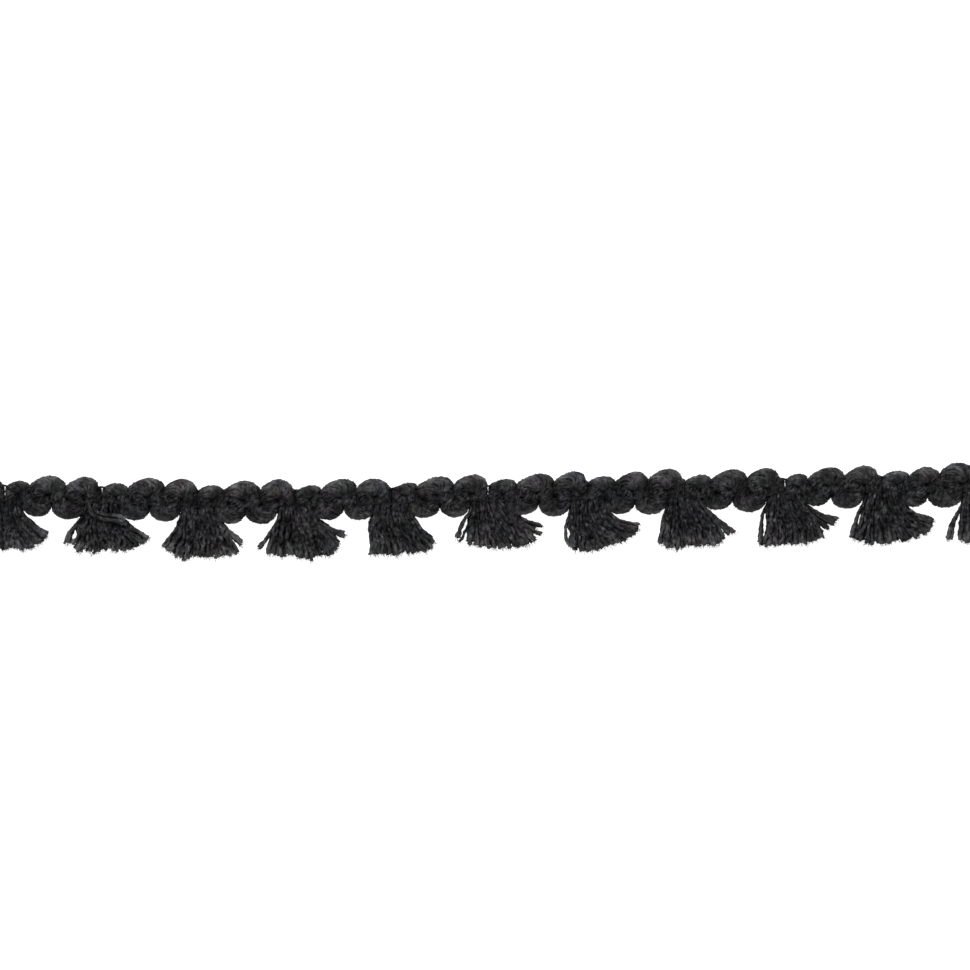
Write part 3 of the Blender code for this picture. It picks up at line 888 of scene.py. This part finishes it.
def fan_paths(rng, fan, ends, place):
    """The ways of the tassel's main yarns, and how far across the fan each one lies, 0 to 1."""
    yarns = len(ends)
    over = np.arange(yarns) % OVER_EVERY == OVER_EVERY - 1
    in_row = np.where(over, 0, 1).cumsum() - 0.5
    t = in_row / (~over).sum() + np.where(over, OVER_UNEVEN, UNDER_UNEVEN) * rng.standard_normal(yarns)
    t = np.clip(t, 0, 1)
    clump = rng.uniform(*CLUMPS) * t + rng.uniform()
    uneven = rng.standard_normal(CLUMPS[1] + 2)[np.round(clump).astype(int)]
    reach = 1 + CLUMP_LENGTHS["uneven"] * uneven.clip(*CLUMP_LENGTHS["range"])
    reach = reach + YARN_LENGTHS["uneven"] * rng.standard_normal(yarns).clip(*YARN_LENGTHS["range"])
    s = np.linspace(0, 1, FAN_STATIONS)[None] * reach[:, None]
    bending = TURN * (BEND_RATES["s"] * s + BEND_RATES["t"] * t[:, None])
    bent = TURN * (clump[:, None] + CLUMP_BEND * np.sin(bending))
    bunch = CLUMPING * ease((s - CLUMP_FROM) / CLUMP_OVER)
    across = t[:, None] - bunch * np.sin(bent) / (TURN * CLUMPS[0])
    flat = fan_points(fan, s, np.clip(across, 0, 1))
    drifting = TURN * (DRIFT_RATES["s"] * s + DRIFT_RATES["t"] * t[:, None] + rng.uniform())
    free = fan["tangle"] * np.where(over, OVER_FREE, UNDER_FREE)[:, None] * ease(s / FREE_BY)
    x = flat[..., 0] + DRIFT * s * np.sin(drifting) + free * wander(rng, yarns, s * FAN_LENGTH, "free")
    v = flat[..., 1] + free * wander(rng, yarns, s * FAN_LENGTH, "free")
    paths = hang(rng, ends, place, x, v, s, np.where(over, OVER_LAYER, np.arange(yarns) % 2))
    paths[..., 2] += CLUMP_RISE * bunch * (1 + np.cos(bent))
    return paths, t


def nearest_ends(ends, place, strays):
    """For each yarn of the strays, the number of the nearest end in the heading that is still free. A strand
    that lies on top takes high ones."""
    free = np.zeros(len(ends))
    taken = []
    for stray in strays:
        for _ in range(stray["yarns"]):
            away = np.abs(ends[:, 0] - place - stray["way"][0][0]) - stray.get("lift", 0) * ends[:, 2]
            taken.append(int(np.argmin(away + free)))
            free[taken[-1]] = np.inf
    return taken


def add_fill(bundle, rng, fan, place):
    """The fan's lowest yarns, which show only between the others."""
    t = (np.arange(FILL_YARNS) + 0.5) / FILL_YARNS
    s = np.linspace(0, FILL_REACH, FILL_STATIONS)[None] * rng.uniform(*FILL_LENGTHS, (FILL_YARNS, 1))
    flat = fan_points(fan, s, t[:, None] + 0 * s)
    x = flat[..., 0] + place + wander(rng, FILL_YARNS, s * FAN_LENGTH, "fill_x")
    paths = placed(x, flat[..., 1], YARN_RADIUS + 0 * x)
    radii = YARN_RADIUS * (1 + FILL_FULLER * ease(s))
    bundle.add(paths, radii, PLY_SECTION, YARN_LAY, rng.uniform(*TWIST_STARTS, FILL_YARNS))


def stray_paths(rng, strays, ends, place):
    """The ways of the yarns in the strands that lie apart from the fan."""
    layers, ways = [], []
    s = np.linspace(0, 1, FAN_STATIONS)
    for stray in strays:
        way = smooth_curve(((STRAY_START * stray["way"][0][0], FAN_TOP), *stray["way"]), s)
        ahead = np.gradient(way, axis=0)
        beside = unit(np.stack([-ahead[:, 1], ahead[:, 0]], axis=-1))
        for yarn in range(stray["yarns"]):
            apart = stray["spread"] * (2 * (yarn + 0.5) / stray["yarns"] - 1)
            length = rng.uniform(*STRAY_LENGTHS)
            layers.append(stray.get("lift", 0) + yarn % 2)
            ways.append(smooth_curve(way + beside * (apart * s**STRAY_OPENING)[:, None], s * length))
    rows = len(ways)
    s = np.broadcast_to(s, (rows, FAN_STATIONS))
    flat = np.stack(ways)
    x = flat[..., 0] + s * wander(rng, rows, s * FAN_LENGTH, "stray_x")
    v = flat[..., 1] + s * wander(rng, rows, s * FAN_LENGTH, "stray_v")
    return hang(rng, ends, place, x, v, s, np.array(layers))


def yarn_radii(rng, yarns):
    """The radii of a tassel's yarns along them: each opens out a little towards its cut end."""
    s = np.linspace(0, 1, FAN_STATIONS)[None]
    fuller = 1 + END_FULLER * ease((s - END_FULLER_FROM) / (1 - END_FULLER_FROM))
    return YARN_RADIUS * rng.uniform(*TASSEL_YARN_SIZES, (yarns, 1)) * fuller


def hang(rng, ends, place, x, v, s, layer):
    """Yarns' ways from their ends in the heading to their places in the fan, lying on the surface."""
    rows = len(ends)
    fade = 1 - ease(s / NECK_FADE)
    above = np.interp(ends[:, 0], *MIDDLE)
    x = x + place + (ends[:, :1] - x[:, :1] - place) * fade
    v = v + ((ends[:, 1] - above)[:, None] - v[:, :1]) * fade
    rest = YARN_RADIUS + HEM_LAYER * layer + LAYER_UNEVEN * rng.uniform(0, 1, rows)
    down = ease(s / DOWN_BY)
    z = ends[:, 2:] * (1 - down) + rest[:, None] * down
    z = z + HEM_LIFT * s * (1 + wander(rng, rows, s * FAN_LENGTH, "hem_lift"))
    return placed(x, v, z)


# -------- the binding threads


def leg_gaps():
    """X of each gap between two legs, along the whole heading."""
    gaps = [(stretch.heads + stretch.feet)[:-1] / 2 for stretch in STRETCHES]
    return np.array([x for x in np.concatenate(gaps) if LEFT_END - PAST_ENDS < x < RIGHT_END + PAST_ENDS])


def add_thread(bundle, x, v, z):
    paths = placed(x, v, z)
    bundle.add(paths, np.full(paths.shape[:2], THREAD_RADIUS), ROUND_SECTION)


def chain_piece(name, row, node, material):
    """A chain stitch over the cords' legs, drawn tight, with a straight run behind."""
    gaps = leg_gaps()
    bundle = Bundle()
    t = np.linspace(0, 1, STITCH_STATIONS)[None]
    start, stop = gaps[:-1, None], gaps[1:, None]
    arch = np.sin(math.pi * t)
    top = 2 * YARN_RADIUS + PRESSED_LIFT + 2 * (HALF_HEIGHT - PRESSED_BY) - STITCH_SUNK
    x = start - STITCH_OVERLAP + (stop - start + 2 * STITCH_OVERLAP) * t
    z = top - STITCH_DIVE * (1 - arch**DIVE_POWER) + 0 * x
    for side in (-1, 1):
        add_thread(bundle, x, row_line(x, row) + side * STITCH_HALF * arch**SIDE_POWER, z)
    x = np.linspace(gaps[0], gaps[-1], BACK_STATIONS * len(gaps))[None]
    wave = np.abs(np.sin(math.pi * np.interp(x, gaps, np.arange(len(gaps)))))
    add_thread(bundle, x, row_line(x, row), THREAD_RADIUS + BACK_RISE * (1 - wave))
    settle(bundle.build(name, material), node)


# -------- materials


def set_inputs(node, values):
    for name, value in values.items():
        node.inputs[name].default_value = value


def noise(nodes, name):
    made = nodes.new("ShaderNodeTexNoise")
    set_inputs(made, NOISES[name])
    return made


def mixed(nodes, links, blend, factor, colour, other):
    """The socket's colour mixed with another by a factor. Each of these two is a value or a socket."""
    made = nodes.new("ShaderNodeMix")
    made.data_type = "RGBA"
    made.blend_type = blend
    links.new(colour, made.inputs["A"])
    for name, given in (("Factor", factor), ("B", other)):
        if isinstance(given, bpy.types.NodeSocket):
            links.new(given, made.inputs[name])
        else:
            made.inputs[name].default_value = given
    return made.outputs["Result"]


def yarn_material(name, dark, light):
    """Matt spun yarn: fine fibres along it, flecks, slow drifts of shade and dye, and paler with fraying,
    wear and a painted highlight on the loops.
    """
    made = bpy.data.materials.new(name)
    made.use_nodes = True
    nodes, links = made.node_tree.nodes, made.node_tree.links
    shader = nodes["Principled BSDF"]
    set_inputs(shader, {"Roughness": ROUGHNESS, "Specular IOR Level": SPECULAR})
    set_inputs(shader, {"Sheen Weight": SHEEN, "Sheen Roughness": SHEEN_ROUGHNESS})
    uv = nodes.new("ShaderNodeUVMap")
    uv.uv_map = "along_yarn"
    stretch = nodes.new("ShaderNodeMapping")
    stretch.inputs["Scale"].default_value = FIBRE_STRETCH
    place = nodes.new("ShaderNodeTexCoord")
    fibres, flecks, shade, dye = (noise(nodes, name) for name in NOISES)
    links.new(uv.outputs["UV"], stretch.inputs["Vector"])
    links.new(stretch.outputs["Vector"], fibres.inputs["Vector"])
    for texture in (flecks, shade, dye):
        links.new(place.outputs["Object"], texture.inputs["Vector"])
    both = nodes.new("ShaderNodeMath")
    both.operation = "ADD"
    half = nodes.new("ShaderNodeMath")
    half.operation = "MULTIPLY"
    half.inputs[1].default_value = 0.5
    ramp = nodes.new("ShaderNodeValToRGB")
    for element, position, colour in zip(ramp.color_ramp.elements, (DARK_TO, LIGHT_FROM), (dark, light)):
        element.position = position
        element.color = (*colour, 1)
    links.new(fibres.outputs["Fac"], both.inputs[0])
    links.new(flecks.outputs["Fac"], both.inputs[1])
    links.new(both.outputs[0], half.inputs[0])
    links.new(half.outputs[0], ramp.inputs["Fac"])
    fray_and_painted_highlight = nodes.new("ShaderNodeAttribute")
    fray_and_painted_highlight.attribute_name = "fray_and_painted_highlight"
    drift = nodes.new("ShaderNodeMapRange")
    set_inputs(drift, {"From Min": SHADE_RANGE[0], "From Max": SHADE_RANGE[1], "To Min": SHADE_LOW})
    links.new(shade.outputs["Fac"], drift.inputs["Value"])
    # Paler by the fray attribute: fraying and worn spots, and on the heading's loops a painted highlight.
    colour = mixed(nodes, links, "ADD", fray_and_painted_highlight.outputs["Fac"], ramp.outputs["Color"], (*FRAY_AND_HIGHLIGHT_COLOUR, 1))
    colour = mixed(nodes, links, "MULTIPLY", 1.0, colour, drift.outputs["Result"])
    colour = mixed(nodes, links, "MULTIPLY", DYE_MIX, colour, dye.outputs["Color"])
    links.new(colour, shader.inputs["Base Color"])
    bump = nodes.new("ShaderNodeBump")
    set_inputs(bump, {"Strength": BUMP, "Distance": BUMP_DEPTH})
    links.new(fibres.outputs["Fac"], bump.inputs["Height"])
    links.new(bump.outputs["Normal"], shader.inputs["Normal"])
    return made


# -------- stage, light and camera


def make_stage():
    bpy.ops.mesh.primitive_plane_add(size=FLOOR_SIZE, location=(0, 0, 0))
    floor = bpy.context.active_object
    floor.name = "floor"
    paint = bpy.data.materials.new("pale_floor")
    paint.use_nodes = True
    shader = paint.node_tree.nodes["Principled BSDF"]
    set_inputs(shader, {"Base Color": FLOOR_COLOUR, "Roughness": FLOOR_ROUGHNESS})
    set_inputs(shader, {"Emission Color": WHITE, "Emission Strength": FLOOR_GLOW})
    floor.data.materials.append(paint)


def add_area(name, place, size, power):
    light = bpy.data.lights.new(name, "AREA")
    light.shape = "SQUARE"
    light.size = size
    light.energy = power
    made = bpy.data.objects.new(name, light)
    made.location = place
    bpy.context.scene.collection.objects.link(made)
    made.rotation_euler = (-made.location).to_track_quat("-Z", "Y").to_euler()


def make_light():
    """The sky, white to the camera but dim, and the lights."""
    world = bpy.data.worlds.new("studio")
    world.use_nodes = True
    nodes, links = world.node_tree.nodes, world.node_tree.links
    sky = nodes["Background"]
    set_inputs(sky, {"Color": WHITE, "Strength": SKY_LIGHT})
    seen = nodes.new("ShaderNodeBackground")
    seen.inputs["Color"].default_value = WHITE
    ray = nodes.new("ShaderNodeLightPath")
    both = nodes.new("ShaderNodeMixShader")
    links.new(ray.outputs["Is Camera Ray"], both.inputs["Fac"])
    links.new(sky.outputs["Background"], both.inputs[1])
    links.new(seen.outputs["Background"], both.inputs[2])
    links.new(both.outputs["Shader"], nodes["World Output"].inputs["Surface"])
    bpy.context.scene.world = world
    for light in LIGHTS:
        add_area(**light)


def make_camera():
    lens = bpy.data.cameras.new("camera")
    lens.lens = LENS
    lens.sensor_width = SENSOR
    lens.clip_start, lens.clip_end = CLIP
    camera = bpy.data.objects.new("camera", lens)
    distance = VIEW_WIDTH * LENS / SENSOR + VIEW_LEVEL
    camera.location = (VIEW_CENTRE[0] * MM, VIEW_CENTRE[1] * MM, distance * MM)
    bpy.context.scene.collection.objects.link(camera)
    bpy.context.scene.camera = camera


# -------- the whole trim

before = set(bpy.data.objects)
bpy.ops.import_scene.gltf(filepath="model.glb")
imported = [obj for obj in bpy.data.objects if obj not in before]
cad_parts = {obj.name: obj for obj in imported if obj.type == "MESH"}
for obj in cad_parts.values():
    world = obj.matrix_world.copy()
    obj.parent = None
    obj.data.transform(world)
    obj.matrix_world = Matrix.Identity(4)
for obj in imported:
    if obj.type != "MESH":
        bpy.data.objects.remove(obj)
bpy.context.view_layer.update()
MIDDLE = middle_line()
PLACES = tassel_places()
STRETCHES = [Stretch(number) for number in range(TASSELS + 1)]
LEFT_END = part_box("heading_cord_00")[0].x / MM
RIGHT_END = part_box("heading_cord_11")[1].x / MM

materials = {slot: yarn_material(f"{slot}_black", **colours) for slot, colours in YARN_COLOURS.items()}

neck_ends = [[] for _ in PLACES]
for number in range(TASSELS + 1):
    first_ends, last_ends = cord_piece(number, materials["heading_yarn"])
    neck_ends[number].append(first_ends)
    neck_ends[number + 1].append(last_ends)
for number in range(1, TASSELS + 1):
    tassel_piece(number, neck_ends[number], materials["tassel_yarn"])
chain_piece("binding_chain_upper", UPPER_ROW, "binding_thread_upper", materials["binding_thread"])
chain_piece("binding_chain_lower", LOWER_ROW, "binding_thread_lower", materials["binding_thread"])

make_stage()
make_light()
make_camera()
bpy.context.scene.view_settings.view_transform = "Standard"
